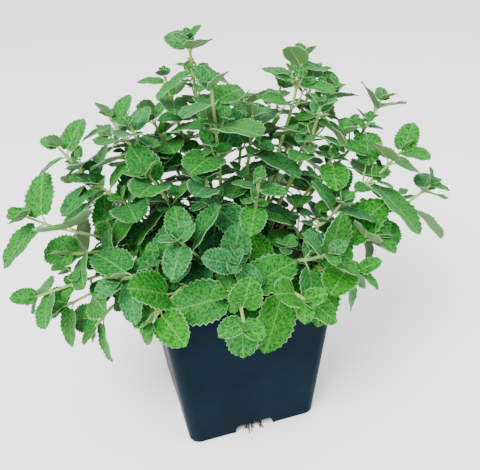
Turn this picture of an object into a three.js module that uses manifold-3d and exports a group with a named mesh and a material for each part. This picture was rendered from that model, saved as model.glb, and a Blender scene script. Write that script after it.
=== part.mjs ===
// Potted catmint: a bushy young plant in a square plastic nursery pot.
// Millimetres, +Z up. The pot's base is centred on the origin and its front faces -Y.
import * as THREE from "three";
import { mergeVertices } from "three/addons/utils/BufferGeometryUtils.js";
import loadManifold from "manifold-3d";

const wasm = await loadManifold();
wasm.setup();
const { Manifold, Mesh } = wasm;

// Pot: outside widths across the flats, wall, floor and corners.
const POT_TOP = 114;
const POT_BASE = 92;
const POT_HEIGHT = 118;
const POT_WALL = 1.6;
const POT_FLOOR = 2;
const POT_CORNER = 9;
const LIP_HEIGHT = 4;
const LIP_WIDTH = 0.8;
const ARC_SEGMENTS = 2;
// How far a cutting block stands out past what it cuts.
const OVERCUT = 2;

// Drain arches: a pocket under each bottom edge, roofed by the pot's own plastic.
const ARCH_WIDTH = 28;
const ARCH_HEIGHT = 7;
const ARCH_DEPTH = 12;
const ARCH_CORNER = 4;
const HOUSING_INSET = 0.3;
const DRAIN_WIDTH = 14;
const DRAIN_HEIGHT = 4;
const DRAIN_TOP = 6;

// Soil and the holes that the stems stand in.
const SOIL_TOP = 108;
const SOIL_RELIEF = 1.4;
const SOIL_GRID = 3;
const SOIL_SPAN = 124;
const SOIL_WAVE = { x: 0.11, y: 0.13, start: 1 };
const GAP = 0.3;
const ROOT_DEPTH = 8;
const HOLE_DEPTH = 9;
const HOLE_WIDTH = 4.4;

// Stems: square in section. Each row is a stem's tip (x, y, z), the rise of its end above
// level in degrees, the size of its leaves, and the turn of its first leaf pair in degrees.
const STEM_SIDE = 2.2;
const STEM_TIP_SHARE = 0.65;
const UPRIGHT_STEPS = 5;
const ARCHED_STEPS = 6;
const ARCHED_RISE = 45;
const CHORD_POINTS = 12;
const ROOT_SHARE = 0.08;
const BASE_RISE = 2;
const HANDLE_SHARE = 0.36;
const HANDLE_LEAST = 24;
const BASE_SHARE = 0.36;
const BASE_LIMIT = 45;
const BASE_SPACING = 7;
const SPREAD_ROUNDS = 60;
const STEMS = [
  [-8, 32, 256, 85, 0.9, 0],
  [-5, -5, 236, 85, 1.15, 0],
  [-22, 47, 232, 75, 0.75, 45],
  [-35, 44, 210, 60, 0.95, 60],
  [-61, 39, 213, 60, 0.95, 30],
  [-52, 10, 216, 75, 0.9, 75],
  [-95, 34, 200, 65, 0.9, 45],
  [-122, 18, 165, 40, 1.4, 30],
  [-101, 4, 141, 5, 1.15, 60],
  [-124, -11, 125, -5, 1.1, 90],
  [-112, -9, 111, -30, 1.05, 30],
  [-75, -42, 146, 25, 1.15, 60],
  [-63, -62, 127, -10, 1.1, 90],
  [-94, -24, 103, -50, 1, 45],
  [-16, -87, 133, 0, 1.15, 0],
  [19, -88, 139, 10, 1.05, 45],
  [63, -66, 133, 20, 1.1, 60],
  [84, -50, 144, 30, 1.2, 45],
  [110, 5, 210, 70, 0.9, 0],
  [110, -26, 187, 60, 1.35, 30],
  [130, -32, 162, 60, 0.95, 75],
  [61, 19, 240, 80, 0.8, 0],
  [80, 40, 224, 65, 0.8, 45],
  [86, 27, 213, 70, 0.8, 90],
  [54, 41, 216, 80, 0.85, 45],
  [60, -12, 219, 85, 0.85, 60],
  [76, -12, 198, 75, 0.85, 0],
  [22, 4, 213, 85, 1.1, 30],
  [-16, -21, 189, 80, 0.95, 0],
  [12, -35, 187, 85, 0.7, 45],
  [63, -40, 166, 70, 0.95, 0],
  [-12, -61, 153, 60, 0.8, 60],
  [-40, -46, 167, 60, 0.95, 30],
  [-47, -8, 191, 65, 1.2, 60],
  [-76, 14, 180, 45, 1, 0],
  [42, -70, 153, 45, 0.9, 30],
  [-60, 70, 188, 50, 1, 45],
  [-10, 92, 190, 55, 1, 0],
  [42, 85, 196, 55, 1, 60],
  [85, 60, 172, 40, 1, 30],
  [-84, 60, 149, 30, 1, 60],
];

// Leaf pairs, counted from a stem's tip: distance below the tip, blade length, stalk length,
// and lift above square to the stem in degrees.
const PAIRS = [
  { below: 0.5, length: 13, stalk: 0.5, lift: 50 },
  { below: 9, length: 22, stalk: 4, lift: 25 },
  { below: 24, length: 29, stalk: 7, lift: 0 },
];
// Rounded teeth along each edge of a blade shorter than this, and of a longer one.
const LARGE_BLADE = 34;
const SMALL_TEETH = 2;
const LARGE_TEETH = 3;
// How far the seeded draws move a leaf: share of its size, degrees of turn and lift, and roll
// as a share of its width.
const SIZE_SPREAD = 0.12;
const TURN_SPREAD = 14;
const LIFT_SPREAD = 16;
const ROLL_SPREAD = 0.4;
// Every leaf leans down a little, its stalk rises more steeply than its blade, and its upper
// face turns to the light: partly straight up, partly along its stem.
const LEAF_DROOP = 0.12;
const STALK_LIFT = 22;
const LIGHT_UP = 0.8;
const LIGHT_ALONG = 0.6;
// Blade: thickness, greatest half width and fold and curl as shares of its length, and the
// powers that set its outline.
const BLADE_THICKNESS = 0.7;
const BLADE_HALF_WIDTH = 0.42;
const BLADE_FOLD = 0.2;
const BLADE_CURL = 0.13;
const OUTLINE_SKEW = 0.66;
const OUTLINE_ROUND = 0.62;
const STALK_WIDTH = 1.2;
const STALK_THICKNESS = 0.8;
const ROOT_OUT = 0.35;
const TOOTH_DEPTH = 0.14;
const TOOTH_START = 0.03;
const TOOTH_SPAN = 0.84;
const TOOTH_LEAN = 0.04;
const BASE_WIDTH = 0.72;
const BLADE_MIDDLE = 0.48;
const BUD_SUNK = 0.1;
const BUD_WAIST = 1.9;
const BUD_EDGE = [[0.32, 1], [0.78, 0.72]];
const LOWEST_LEAF = 14;

// Leaves that would cross a neighbour are turned, tipped or drawn smaller, in this order.
// Each row is a turn about the stem and a tip, in degrees, and a share of the full size.
const CLEARANCE = 2.3;
const BLADE_REACH = 0.62;
const BLADE_STEPS = 6;
const STALK_MIDDLE = 0.65;
const BENDS = [
  [0, 0, 1], [18, 0, 1], [-18, 0, 1], [0, 18, 1], [0, -18, 1], [22, 20, 1], [-22, 20, 1],
  [24, -16, 0.9], [-24, -16, 0.9], [0, 34, 0.9], [40, 10, 0.85], [-40, 10, 0.85],
  [0, 0, 0.75], [20, 30, 0.75], [-20, 30, 0.75], [0, -30, 0.7], [30, 0, 0.6], [-30, 0, 0.6],
  [0, 45, 0.6],
];
// Stems that would cross one, or the rim, are bent aside and up by these distances.
const STEM_BENDS = [
  [0, 0], [7, 0], [-7, 0], [0, 7], [14, 0], [-14, 0], [7, 7], [-7, 7], [0, 14], [14, 14], [-14, 14],
  [0, 21], [21, 21], [-21, 21],
];
const STEM_APART = 3.74;
const STEM_FREE = 6;
const POT_CLEARANCE = 1.6;

// The factors and modulus of the seeded draws.
const SEED_FACTOR = 2654435761;
const DRAW_FACTOR = 1664525;
const DRAW_STEP = 1013904223;
const DRAW_MODULUS = 2 ** 32;

const UP = new THREE.Vector3(0, 0, 1);

// A seeded draw between -1 and 1: the same number for the same stem, pair, side and use.
function draw(stem, pair, side, use) {
  const seed = Math.imul(stem * 64 + pair * 16 + side * 8 + use + 1, SEED_FACTOR) >>> 0;
  const state = (Math.imul(seed, DRAW_FACTOR) + DRAW_STEP) >>> 0;
  return (state / DRAW_MODULUS) * 2 - 1;
}

function toManifold(geometry) {
  const bare = geometry.clone();
  bare.deleteAttribute("normal");
  bare.deleteAttribute("uv");
  const welded = mergeVertices(bare, 1e-4);
  return new Manifold(new Mesh({
    numProp: 3,
    vertProperties: new Float32Array(welded.attributes.position.array),
    triVerts: new Uint32Array(welded.index.array),
  }));
}

function toMesh(name, solid, material) {
  const { vertProperties, triVerts } = solid.getMesh();
  const geometry = new THREE.BufferGeometry();
  geometry.setAttribute("position", new THREE.BufferAttribute(vertProperties, 3));
  geometry.setIndex(new THREE.BufferAttribute(triVerts, 1));
  geometry.computeVertexNormals();
  const mesh = new THREE.Mesh(geometry, material);
  mesh.name = name;
  return mesh;
}

function box(xLow, xHigh, yLow, yHigh, zLow, zHigh) {
  const geometry = new THREE.BoxGeometry(xHigh - xLow, yHigh - yLow, zHigh - zLow);
  geometry.translate((xLow + xHigh) / 2, (yLow + yHigh) / 2, (zLow + zHigh) / 2);
  return toManifold(geometry);
}

// The pot's outside half width at a height.
function potHalf(z) {
  return (POT_BASE + (POT_TOP - POT_BASE) * z / POT_HEIGHT) / 2;
}

// A solid square with rounded corners that tapers with the pot, its faces inset from the
// pot's outside.
function taperedBlock(inset, low, high) {
  const half = POT_TOP / 2 - inset;
  const corner = POT_CORNER - inset;
  const arm = half - corner;
  const outline = new THREE.Shape();
  outline.absarc(arm, arm, corner, 0, Math.PI / 2);
  outline.absarc(-arm, arm, corner, Math.PI / 2, Math.PI);
  outline.absarc(-arm, -arm, corner, Math.PI, Math.PI * 1.5);
  outline.absarc(arm, -arm, corner, Math.PI * 1.5, Math.PI * 2);
  const geometry = new THREE.ExtrudeGeometry(outline, {
    depth: high - low, bevelEnabled: false, curveSegments: ARC_SEGMENTS,
  });
  geometry.translate(0, 0, low);
  const position = geometry.attributes.position;
  for (let i = 0; i < position.count; i += 1) {
    const share = (potHalf(position.getZ(i)) - inset) / half;
    position.setXY(i, position.getX(i) * share, position.getY(i) * share);
  }
  return toManifold(geometry);
}

// The pocket under the front edge, with rounded upper corners.
function archPocket() {
  const half = ARCH_WIDTH / 2;
  const shoulder = ARCH_HEIGHT - ARCH_CORNER;
  const outline = new THREE.Shape();
  outline.moveTo(-half, -OVERCUT);
  outline.lineTo(half, -OVERCUT);
  outline.absarc(half - ARCH_CORNER, shoulder, ARCH_CORNER, 0, Math.PI / 2);
  outline.absarc(ARCH_CORNER - half, shoulder, ARCH_CORNER, Math.PI / 2, Math.PI);
  const geometry = new THREE.ExtrudeGeometry(outline, {
    depth: ARCH_DEPTH + OVERCUT, bevelEnabled: false, curveSegments: ARC_SEGMENTS,
  });
  geometry.rotateX(Math.PI / 2);
  geometry.translate(0, ARCH_DEPTH - POT_BASE / 2, 0);
  return toManifold(geometry);
}

// The block of plastic and air that an arch takes up inside the pot.
function archHousing(extra) {
  const half = ARCH_WIDTH / 2 + POT_WALL + extra;
  const front = POT_BASE / 2 - HOUSING_INSET;
  const back = POT_BASE / 2 - ARCH_DEPTH - POT_WALL - extra;
  return box(-half, half, -front, -back, 0, ARCH_HEIGHT + POT_WALL + extra);
}

function onFourSides(solid) {
  return Manifold.union([0, 90, 180, 270].map((turn) => solid.rotate([0, 0, turn])));
}

function buildPot() {
  const lip = taperedBlock(-LIP_WIDTH, POT_HEIGHT - LIP_HEIGHT, POT_HEIGHT);
  const shell = taperedBlock(0, 0, POT_HEIGHT).add(lip)
    .subtract(taperedBlock(POT_WALL, POT_FLOOR, POT_HEIGHT + OVERCUT));
  const pocketBack = POT_BASE / 2 - ARCH_DEPTH;
  const drain = box(-DRAIN_WIDTH / 2, DRAIN_WIDTH / 2, -pocketBack - OVERCUT,
    -pocketBack + POT_WALL + OVERCUT, DRAIN_TOP - DRAIN_HEIGHT, DRAIN_TOP);
  return shell.add(onFourSides(archHousing(0)))
    .subtract(onFourSides(archPocket()))
    .subtract(onFourSides(drain));
}

// Soil fills the pot to just under the rim, its top slightly uneven.
function buildSoil(stems) {
  const body = taperedBlock(POT_WALL + GAP, POT_FLOOR + GAP, POT_HEIGHT);
  const height = SOIL_TOP + OVERCUT;
  const top = new THREE.BoxGeometry(SOIL_SPAN, SOIL_SPAN, height, SOIL_GRID, SOIL_GRID, 1);
  top.translate(0, 0, height / 2 - OVERCUT);
  const position = top.attributes.position;
  for (let i = 0; i < position.count; i += 1) {
    const x = position.getX(i);
    const y = position.getY(i);
    if (position.getZ(i) > 0) {
      const wave = Math.sin(x * SOIL_WAVE.x + SOIL_WAVE.start) * Math.cos(y * SOIL_WAVE.y);
      position.setZ(i, SOIL_TOP + SOIL_RELIEF * wave);
    }
  }
  const holes = stems.map((stem) => {
    const hole = new THREE.BoxGeometry(HOLE_WIDTH, HOLE_WIDTH, 2 * HOLE_DEPTH);
    hole.translate(stem.base.x, stem.base.y, SOIL_TOP);
    return toManifold(hole);
  });
  return body.intersect(toManifold(top))
    .subtract(onFourSides(archHousing(GAP)))
    .subtract(Manifold.union(holes));
}

// Stems leave the soil under their tips, drawn in towards the middle and spread apart.
function spreadBases() {
  const limit = (v) => Math.max(-BASE_LIMIT, Math.min(BASE_LIMIT, v));
  const bases = STEMS.map(([x, y]) => [limit(x * BASE_SHARE), limit(y * BASE_SHARE)]);
  for (let round = 0; round < SPREAD_ROUNDS; round += 1) {
    for (let i = 0; i < bases.length; i += 1) {
      for (let j = i + 1; j < bases.length; j += 1) {
        const dx = bases[j][0] - bases[i][0];
        const dy = bases[j][1] - bases[i][1];
        const apart = Math.sqrt(dx * dx + dy * dy);
        if (apart < BASE_SPACING) {
          const push = (BASE_SPACING - apart) / 2 / apart;
          bases[i] = [limit(bases[i][0] - dx * push), limit(bases[i][1] - dy * push)];
          bases[j] = [limit(bases[j][0] + dx * push), limit(bases[j][1] + dy * push)];
        }
      }
    }
  }
  return bases;
}

// A stem's centre line: upright out of the soil, then a smooth bend to its tip.
class StemCurve extends THREE.Curve {
  constructor(row, base, [across, raise]) {
    super();
    const [x, y, z, rise] = row;
    const angle = THREE.MathUtils.degToRad(rise);
    const outward = new THREE.Vector3(x - base[0], y - base[1], 0).normalize();
    const aside = new THREE.Vector3(-outward.y, outward.x, 0);
    this.base = new THREE.Vector3(base[0], base[1], SOIL_TOP + BASE_RISE);
    this.tip = new THREE.Vector3(x, y, z);
    this.steps = rise < ARCHED_RISE ? ARCHED_STEPS : UPRIGHT_STEPS;
    const reach = this.tip.distanceTo(this.base);
    const heading = outward.multiplyScalar(Math.cos(angle)).addScaledVector(UP, Math.sin(angle));
    const handle = reach * HANDLE_SHARE;
    this.first = this.base.clone().addScaledVector(UP, Math.max(handle, HANDLE_LEAST) + raise)
      .addScaledVector(aside, across);
    this.second = this.tip.clone().addScaledVector(heading, -handle)
      .addScaledVector(aside, across).addScaledVector(UP, raise);
  }

  getPoint(share) {
    if (share < ROOT_SHARE) {
      const buried = (ROOT_DEPTH + BASE_RISE) * (1 - share / ROOT_SHARE);
      return this.base.clone().addScaledVector(UP, -buried);
    }
    const t = (share - ROOT_SHARE) / (1 - ROOT_SHARE);
    const s = 1 - t;
    return this.base.clone().multiplyScalar(s * s * s)
      .addScaledVector(this.first, 3 * s * s * t)
      .addScaledVector(this.second, 3 * s * t * t)
      .addScaledVector(this.tip, t * t * t);
  }

  // The solid's rings stand at even steps of the bend, so its centre line is a chain of chords.
  getPointAt(share) {
    return this.getPoint(share);
  }

  rings() {
    return Array.from({ length: this.steps + 1 }, (_, i) => this.getPoint(i / this.steps));
  }

  // Points along the chords from the tip down, close enough together to walk along.
  trace() {
    const rings = this.rings().reverse();
    const points = [rings[0]];
    for (let i = 1; i < rings.length; i += 1) {
      for (let k = 1; k <= CHORD_POINTS; k += 1) {
        points.push(rings[i - 1].clone().lerp(rings[i], k / CHORD_POINTS));
      }
    }
    return points;
  }
}

// The point and upward direction of a stem at a distance below its tip.
function walkDown(trace, below) {
  let left = below;
  for (let i = 0; i + 1 < trace.length; i += 1) {
    const step = trace[i].distanceTo(trace[i + 1]);
    if (left <= step) {
      const point = trace[i].clone().lerp(trace[i + 1], left / step);
      return { point, heading: trace[i].clone().sub(trace[i + 1]).normalize() };
    }
    left -= step;
  }
  return null;
}

function potBlocks(point, margin) {
  const reach = Math.max(Math.abs(point.x), Math.abs(point.y));
  if (point.z > POT_HEIGHT + margin) return false;
  const half = potHalf(Math.max(point.z, 0));
  if (reach > half + LIP_WIDTH + margin) return false;
  return reach > half - POT_WALL - margin || point.z < SOIL_TOP + SOIL_RELIEF + margin;
}

function growStems() {
  const bases = spreadBases();
  const stems = [];
  STEMS.forEach((row, index) => {
    let best = null;
    for (const bend of STEM_BENDS) {
      const curve = new StemCurve(row, bases[index], bend);
      const trace = curve.trace();
      const above = trace.filter((point) => point.z > SOIL_TOP + STEM_FREE);
      const crossings = stems.reduce((count, other) => count + above.filter((point) => (
        other.above.some((p) => p.distanceTo(point) < STEM_APART))).length, 0)
        + above.filter((point) => potBlocks(point, STEM_SIDE / 2 + GAP)).length;
      if (best === null || crossings < best.crossings) {
        best = { index, row, curve, trace, above, crossings, base: curve.base };
      }
      if (crossings === 0) break;
    }
    stems.push(best);
  });
  return stems;
}

// Half width of a blade, as a share of the greatest, along its length from 0 to 1.
function bladeProfile(along) {
  const t = Math.max(0, Math.min(1, along));
  return Math.sin(Math.PI * t ** OUTLINE_SKEW) ** OUTLINE_ROUND;
}

function bladePoint(leaf, along, across) {
  const height = BLADE_FOLD * Math.abs(across) - BLADE_CURL * along * along * leaf.length;
  return leaf.origin.clone()
    .addScaledVector(leaf.axis, along * leaf.length)
    .addScaledVector(leaf.side, across)
    .addScaledVector(leaf.normal, height);
}

// Where the rule puts a leaf of a pair on its stem, its sizes and its directions.
function ruledPlan(stem, pair, side) {
  const { below, length, stalk, lift } = PAIRS[pair];
  const size = stem.row[4];
  const drawn = size * (1 + SIZE_SPREAD * draw(stem.index, pair, side, 0));
  return {
    pair,
    below: below * size,
    stalk: stalk * drawn,
    length: length * drawn,
    turn: stem.row[5] + 90 * pair + 180 * side + TURN_SPREAD * draw(stem.index, pair, side, 1),
    lift: lift + LIFT_SPREAD * draw(stem.index, pair, side, 2),
    roll: ROLL_SPREAD * draw(stem.index, pair, side, 3),
  };
}

function growLeaf(stem, plan, [turn, tip, size]) {
  const node = walkDown(stem.trace, plan.below);
  const radians = THREE.MathUtils.degToRad;
  const level = new THREE.Vector3().crossVectors(UP, node.heading).normalize();
  const rest = new THREE.Vector3().crossVectors(node.heading, level);
  const around = radians(plan.turn + turn);
  const radial = level.clone().multiplyScalar(Math.cos(around))
    .addScaledVector(rest, Math.sin(around));
  const lift = radians(plan.lift + tip);
  const axis = radial.clone().multiplyScalar(Math.cos(lift))
    .addScaledVector(node.heading, Math.sin(lift)).addScaledVector(UP, -LEAF_DROOP)
    .normalize();
  const stalkLift = lift + radians(STALK_LIFT);
  const stalk = radial.clone().multiplyScalar(Math.cos(stalkLift))
    .addScaledVector(node.heading, Math.sin(stalkLift));
  const light = UP.clone().multiplyScalar(LIGHT_UP).addScaledVector(node.heading, LIGHT_ALONG);
  const flat = light.addScaledVector(axis, -light.dot(axis)).normalize();
  const cross = new THREE.Vector3().crossVectors(flat, axis);
  const normal = flat.addScaledVector(cross, plan.roll).normalize();
  const length = plan.length * size;
  const stalkLength = STEM_SIDE / 2 + plan.stalk * size;
  const origin = node.point.clone().addScaledVector(stalk, stalkLength);
  return {
    stem: stem.index, pair: plan.pair, root: node.point, origin, axis, normal, stalk, length,
    side: new THREE.Vector3().crossVectors(normal, axis),
    half: BLADE_HALF_WIDTH * length,
    middle: origin.clone().addScaledVector(axis, length / 2),
    radius: length * BLADE_REACH,
  };
}

// Points over a blade and its stalk, close enough together to find what crosses them.
function leafPoints(leaf) {
  const points = [leaf.root.clone().lerp(leaf.origin, STALK_MIDDLE)];
  for (let i = 0; i <= BLADE_STEPS; i += 1) {
    const along = i / BLADE_STEPS;
    const half = leaf.half * bladeProfile(along);
    points.push(bladePoint(leaf, along, 0));
    points.push(bladePoint(leaf, along, half));
    points.push(bladePoint(leaf, along, -half));
  }
  return points;
}

function nearBlade(point, leaf, clearance) {
  const offset = point.clone().sub(leaf.origin);
  const x = offset.dot(leaf.axis);
  const y = offset.dot(leaf.side);
  if (x < -clearance || x > leaf.length + clearance) return false;
  const along = x / leaf.length;
  if (Math.abs(y) > leaf.half * bladeProfile(along) + clearance) return false;
  const height = BLADE_FOLD * Math.abs(y) - BLADE_CURL * along * along * leaf.length;
  return Math.abs(offset.dot(leaf.normal) - height) < clearance;
}

function leafCrosses(leaf, points, leaves, stems) {
  if (points.some((point) => potBlocks(point, POT_CLEARANCE))) return true;
  for (const other of leaves) {
    const close = other.stem !== leaf.stem
      && other.middle.distanceTo(leaf.middle) < other.radius + leaf.radius + CLEARANCE;
    if (close && (points.some((point) => nearBlade(point, other, CLEARANCE))
      || other.points.some((point) => nearBlade(point, leaf, CLEARANCE)))) return true;
  }
  const reach = leaf.radius + CLEARANCE;
  const stalkMiddle = points[0];
  return stems.some((stem) => stem.index !== leaf.stem && stem.trace.some((point) => (
    (point.distanceTo(leaf.middle) < reach && nearBlade(point, leaf, CLEARANCE))
    || point.distanceTo(stalkMiddle) < CLEARANCE)));
}

// Leaf pairs grow from the tips down, on each stem as far as it stands clear of the soil. Each
// leaf takes the first clear bend.
function growLeaves(stems) {
  const leaves = [];
  const grow = (stem, plan) => {
    for (const bend of BENDS) {
      const leaf = growLeaf(stem, plan, bend);
      const points = leafPoints(leaf);
      if (!leafCrosses(leaf, points, leaves, stems)) {
        leaves.push({ ...leaf, points });
        return;
      }
    }
  };
  PAIRS.forEach((place, pair) => {
    for (const stem of stems) {
      const node = walkDown(stem.trace, place.below * stem.row[4]);
      const rooted = node !== null && node.point.z > SOIL_TOP + LOWEST_LEAF;
      const outside = node !== null && potHalf(POT_HEIGHT) < Math.max(
        Math.abs(node.point.x), Math.abs(node.point.y));
      for (let side = 0; side < 2 && (rooted || outside); side += 1) {
        grow(stem, ruledPlan(stem, pair, side));
      }
    }
  });
  return leaves;
}

// Points along one edge of a blade, tooth and notch by turns: the share of the length, and the
// distance from the midrib.
function toothedEdge(leaf) {
  const count = (leaf.length > LARGE_BLADE ? LARGE_TEETH : SMALL_TEETH) * 2 - 1;
  return Array.from({ length: count }, (_, i) => {
    const along = TOOTH_START + (TOOTH_SPAN * i) / (count - 1);
    const tooth = i % 2 === 0 ? 1 : 1 - TOOTH_DEPTH;
    const share = i === 0 ? BASE_WIDTH : bladeProfile(along + TOOTH_LEAN);
    return [along, leaf.half * share * tooth];
  });
}

// A blade with its stalk: one plate with a rounded-tooth edge, folded along the midrib and
// curled down to the tip. The stalk's root is sunk in the stem.
function leafSolid(leaf) {
  const edge = toothedEdge(leaf);
  const plate = [];
  const root = leaf.root.clone().addScaledVector(leaf.stalk, ROOT_OUT);
  const halfStalk = leaf.side.clone().multiplyScalar(STALK_WIDTH / 2);
  const lift = leaf.normal.clone().addScaledVector(leaf.stalk, -leaf.normal.dot(leaf.stalk))
    .normalize();
  const onBlade = (point) => plate.push([point, leaf.normal, BLADE_THICKNESS / 2]);
  plate.push([root.clone().add(halfStalk), lift, STALK_THICKNESS / 2]);
  plate.push([root.clone().sub(halfStalk), lift, STALK_THICKNESS / 2]);
  onBlade(leaf.origin.clone().sub(halfStalk));
  edge.forEach(([along, half]) => onBlade(bladePoint(leaf, along, -half)));
  onBlade(bladePoint(leaf, 1, 0));
  edge.reverse().forEach(([along, half]) => onBlade(bladePoint(leaf, along, half)));
  onBlade(leaf.origin.clone().add(halfStalk));
  const rim = plate.length;
  onBlade(bladePoint(leaf, BLADE_MIDDLE, 0));

  const tip = edge.length + 3;
  const faces = [[0, 1, 2], [0, 2, rim - 1], [rim - 1, 2, rim]];
  for (let i = 2; i < tip; i += 1) {
    faces.push([rim, i, i + 1], [rim, rim - i, rim - i + 1]);
  }
  return plateManifold(plate, rim, faces);
}

// The stem's end: its youngest leaves, two stalkless blades in one plate across the stem.
function budSolid(stem, first, second) {
  const plate = [];
  const { point, heading } = walkDown(stem.trace, BUD_SUNK);
  const halfWaist = first.side.clone().multiplyScalar(BUD_WAIST / 2);
  [[first, -1], [second, 1]].forEach(([leaf, sign]) => {
    plate.push([point.clone().addScaledVector(halfWaist, sign), heading, BLADE_THICKNESS]);
    const edge = BUD_EDGE.map(([along, share]) => [along, leaf.half * share]);
    const onBlade = (along, across) => (
      plate.push([bladePoint(leaf, along, across), leaf.normal, BLADE_THICKNESS / 2]));
    edge.forEach(([along, half]) => onBlade(along, -half));
    onBlade(1, 0);
    edge.reverse().forEach(([along, half]) => onBlade(along, half));
  });
  const rim = plate.length;
  const half = rim / 2;
  const faces = [];
  [first, second].forEach((leaf, blade) => {
    const start = blade * half;
    const middle = plate.length;
    plate.push([bladePoint(leaf, BLADE_MIDDLE, 0), leaf.normal, BLADE_THICKNESS / 2]);
    for (let i = 0; i < half; i += 1) {
      faces.push([middle, start + i, (start + i + 1) % rim]);
    }
    faces.push([middle, (start + half) % rim, start]);
  });
  return plateManifold(plate, rim, faces);
}

// A closed plate from its points, each with its own up direction and half thickness: the same
// triangles on both faces, and a wall round the first `rim` points.
function plateManifold(plate, rim, faces) {
  const count = plate.length;
  const positions = [];
  [1, -1].forEach((face) => plate.forEach(([point, up, half]) => {
    positions.push(...point.clone().addScaledVector(up, face * half).toArray());
  }));
  const triangles = [];
  faces.forEach(([a, b, c]) => triangles.push(a, b, c, count + a, count + c, count + b));
  for (let i = 0; i < rim; i += 1) {
    const next = (i + 1) % rim;
    triangles.push(i, count + i, count + next, i, count + next, next);
  }
  return new Manifold(new Mesh({
    numProp: 3,
    vertProperties: new Float32Array(positions),
    triVerts: new Uint32Array(triangles),
  }));
}

// A square stem, tapered from the soil to its tip.
function stemSolid(stem) {
  const half = STEM_SIDE / 2;
  const section = new THREE.Shape();
  section.moveTo(-half, -half);
  section.lineTo(half, -half);
  section.lineTo(half, half);
  section.lineTo(-half, half);
  const { steps } = stem.curve;
  const geometry = new THREE.ExtrudeGeometry(section, { steps, extrudePath: stem.curve });
  const centres = stem.curve.rings();
  const position = geometry.attributes.position;
  const corner = new THREE.Vector3();
  for (let i = 0; i < position.count; i += 1) {
    corner.fromBufferAttribute(position, i);
    const distances = centres.map((centre) => centre.distanceTo(corner));
    const ring = distances.indexOf(Math.min(...distances));
    corner.lerp(centres[ring], (1 - STEM_TIP_SHARE) * ring / steps);
    position.setXYZ(i, ...corner.toArray());
  }
  return toManifold(geometry);
}

const potPlastic = new THREE.MeshStandardMaterial({ color: 0x16303c, roughness: 0.38, metalness: 0 });
const soilMix = new THREE.MeshStandardMaterial({ color: 0x2b211b, roughness: 1, metalness: 0 });
const foliage = new THREE.MeshStandardMaterial({ color: 0x4c9a45, roughness: 0.7, metalness: 0 });

// One closed body for a stem and all it carries. Where blades of one stem press together they
// can seal a small void, which is filled.
function leafyStem(stem, leaves) {
  const [first, second] = leaves.filter((leaf) => leaf.pair === 0);
  const blades = leaves.filter((leaf) => leaf.pair > 0).map(leafSolid);
  const joined = Manifold.union([stemSolid(stem), budSolid(stem, first, second), ...blades]);
  const shells = joined.decompose().filter((shell) => shell.volume() > 0);
  if (shells.length !== 1) throw new Error(`stem ${stem.index + 1} has a loose leaf`);
  return shells[0];
}

const group = new THREE.Group();
const stems = growStems();
const leaves = growLeaves(stems);
group.add(toMesh("pot", buildPot(), potPlastic));
group.add(toMesh("soil", buildSoil(stems), soilMix));
stems.forEach((stem) => {
  const own = leaves.filter((leaf) => leaf.stem === stem.index);
  const name = `leafy_stem_${String(stem.index + 1).padStart(2, "0")}`;
  group.add(toMesh(name, leafyStem(stem, own), foliage));
});

export default group;
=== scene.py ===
import math
from types import SimpleNamespace

import bmesh
import bpy
import numpy as np
from mathutils import Matrix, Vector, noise


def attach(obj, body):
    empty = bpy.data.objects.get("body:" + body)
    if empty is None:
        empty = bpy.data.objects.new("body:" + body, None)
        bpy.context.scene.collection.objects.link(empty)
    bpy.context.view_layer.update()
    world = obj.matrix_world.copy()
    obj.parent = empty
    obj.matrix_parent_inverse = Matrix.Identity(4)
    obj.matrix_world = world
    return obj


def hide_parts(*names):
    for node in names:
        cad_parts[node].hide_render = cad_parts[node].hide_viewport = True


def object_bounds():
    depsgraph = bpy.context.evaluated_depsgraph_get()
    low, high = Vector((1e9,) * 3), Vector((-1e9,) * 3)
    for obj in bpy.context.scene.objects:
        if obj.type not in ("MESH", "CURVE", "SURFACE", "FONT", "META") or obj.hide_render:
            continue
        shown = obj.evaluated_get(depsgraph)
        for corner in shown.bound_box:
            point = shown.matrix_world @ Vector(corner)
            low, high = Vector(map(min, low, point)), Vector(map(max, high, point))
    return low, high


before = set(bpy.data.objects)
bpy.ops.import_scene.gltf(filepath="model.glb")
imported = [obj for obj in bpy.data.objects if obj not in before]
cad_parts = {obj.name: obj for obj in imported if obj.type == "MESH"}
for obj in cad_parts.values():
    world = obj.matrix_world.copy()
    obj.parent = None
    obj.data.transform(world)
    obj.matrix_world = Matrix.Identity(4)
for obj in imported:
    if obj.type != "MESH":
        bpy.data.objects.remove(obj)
cad_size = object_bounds()
MM = 0.001


# --- Pot -------------------------------------------------------------------------------
# A square nursery pot, injection moulded in dark blue-green polypropylene: tapered walls,
# a narrow lip, and a drain arch under the middle of each bottom edge.
POT_TOP = 114
POT_BASE = 92
POT_HEIGHT = 118
POT_WALL = 1.6
POT_FLOOR = 2
POT_CORNER = 9
LIP_HEIGHT = 4
LIP_WIDTH = 0.8
ARCH_WIDTH = 28
ARCH_HEIGHT = 7
ARCH_DEPTH = 12
ARCH_CORNER = 4
HOUSING_INSET = 0.3
DRAIN_WIDTH = 14
DRAIN_HEIGHT = 4
DRAIN_TOP = 6
OVERCUT = 2
SHARP = math.radians(32)
CORNER_SEGMENTS = 10
SHOULDER_SEGMENTS = 6
# The foot's rounding, with the height and inset of its bend. The lip begins a little below
# its edge, stands out at it, and is full a little above: those three distances.
FOOT_ROUND = 1.1
FOOT_BEND = (0.3, 0.4)
LIP_STEP = (0.5, 0.3, 0.2)
RIM_ROUND = 0.6
RIM_BEND = 0.15
RIM_INNER = 0.4


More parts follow.
